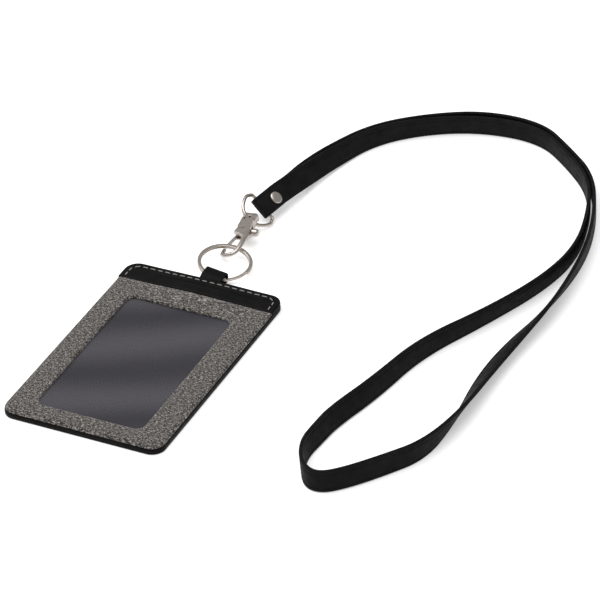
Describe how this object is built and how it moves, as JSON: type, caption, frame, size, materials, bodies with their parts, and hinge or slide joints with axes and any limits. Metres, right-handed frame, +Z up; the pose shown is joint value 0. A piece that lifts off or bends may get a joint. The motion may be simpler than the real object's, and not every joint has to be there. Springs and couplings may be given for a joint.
{
  "type": "lanyard badge holder",
  "caption": "Flat fabric-fronted card pocket with a clear window, hung by a split ring, trigger hook and D-ring from a narrow neck strap lying in a loop.",
  "frame": {"origin": "middle of the pocket's flat back face, on the surface that it lies on", "axes": "+Z up, out of the pocket's front; +Y along the pocket towards its split ring; +X to the right of someone who reads the card"},
  "size_m": [0.1834, 0.2832, 0.0124],
  "materials": {
    "black_pu": "smooth coated, low gloss",
    "strap_pu": "smooth coated, low gloss",
    "grey_board": "pressed card",
    "charcoal_lining": "thin woven lining",
    "clear_film": "clear flexible sheet",
    "grey_fabric": "heather weave",
    "grey_thread": "spun thread",
    "nickel": "satin nickel plate",
    "spring_steel": "drawn wire"
  },
  "bodies": {
    "strap": {"strap_inner_run": "strap_pu", "strap_outer_run": "strap_pu", "strap_fold": "strap_pu", "strap_outer_end": "strap_pu", "rivet_cap": "nickel", "rivet_base": "nickel"},
    "d_ring": {"d_ring": "nickel"},
    "hook": {"hook_body": "nickel", "gate_pin": "nickel", "gate_spring": "spring_steel"},
    "gate": {"hook_gate": "nickel"},
    "split_ring": {"split_ring": "nickel"},
    "pocket": {"back_cover": "black_pu", "back_board": "grey_board", "pocket_lining": "charcoal_lining", "window_film": "clear_film", "front_spacer": "grey_board", "front_board": "grey_board", "fabric_front": "grey_fabric", "top_band": "black_pu", "band_stitching": "grey_thread", "tab_loop": "black_pu"}
  },
  "joints": [
    {"name": "d_ring_swing", "type": "hinge", "parent": "strap", "child": "d_ring", "pos_m": [-0.00136, 0.1158, 0.00645], "axis": [-0.7564, 0.1211, 0.6428], "range_deg": [-80, 50]},
    {"name": "hook_swing", "type": "hinge", "parent": "d_ring", "child": "hook", "pos_m": [-0.00307, 0.10514, 0.00645], "axis": [-0.7564, 0.1211, 0.6428], "range_deg": [-50, 20]},
    {"name": "gate_press", "type": "hinge", "parent": "hook", "child": "gate", "pos_m": [-0.00187, 0.09701, 0.00543], "axis": [-0.1169, -0.0775, 0.9901], "range_deg": [0, 12], "stiffness_Nm_per_rad": 0.02, "springref_deg": -11.46},
    {"name": "ring_swing", "type": "hinge", "parent": "hook", "child": "split_ring", "pos_m": [-0.0011, 0.08455, 0.00458], "axis": [-0.9721, -0.2037, 0.1162], "range_deg": [-60, 15]},
    {"name": "pocket_swing", "type": "hinge", "parent": "split_ring", "child": "pocket", "pos_m": [0.0016, 0.06305, 0.00316], "axis": [0.9917, 0, -0.1289], "range_deg": [-90, 90]}
  ]
}
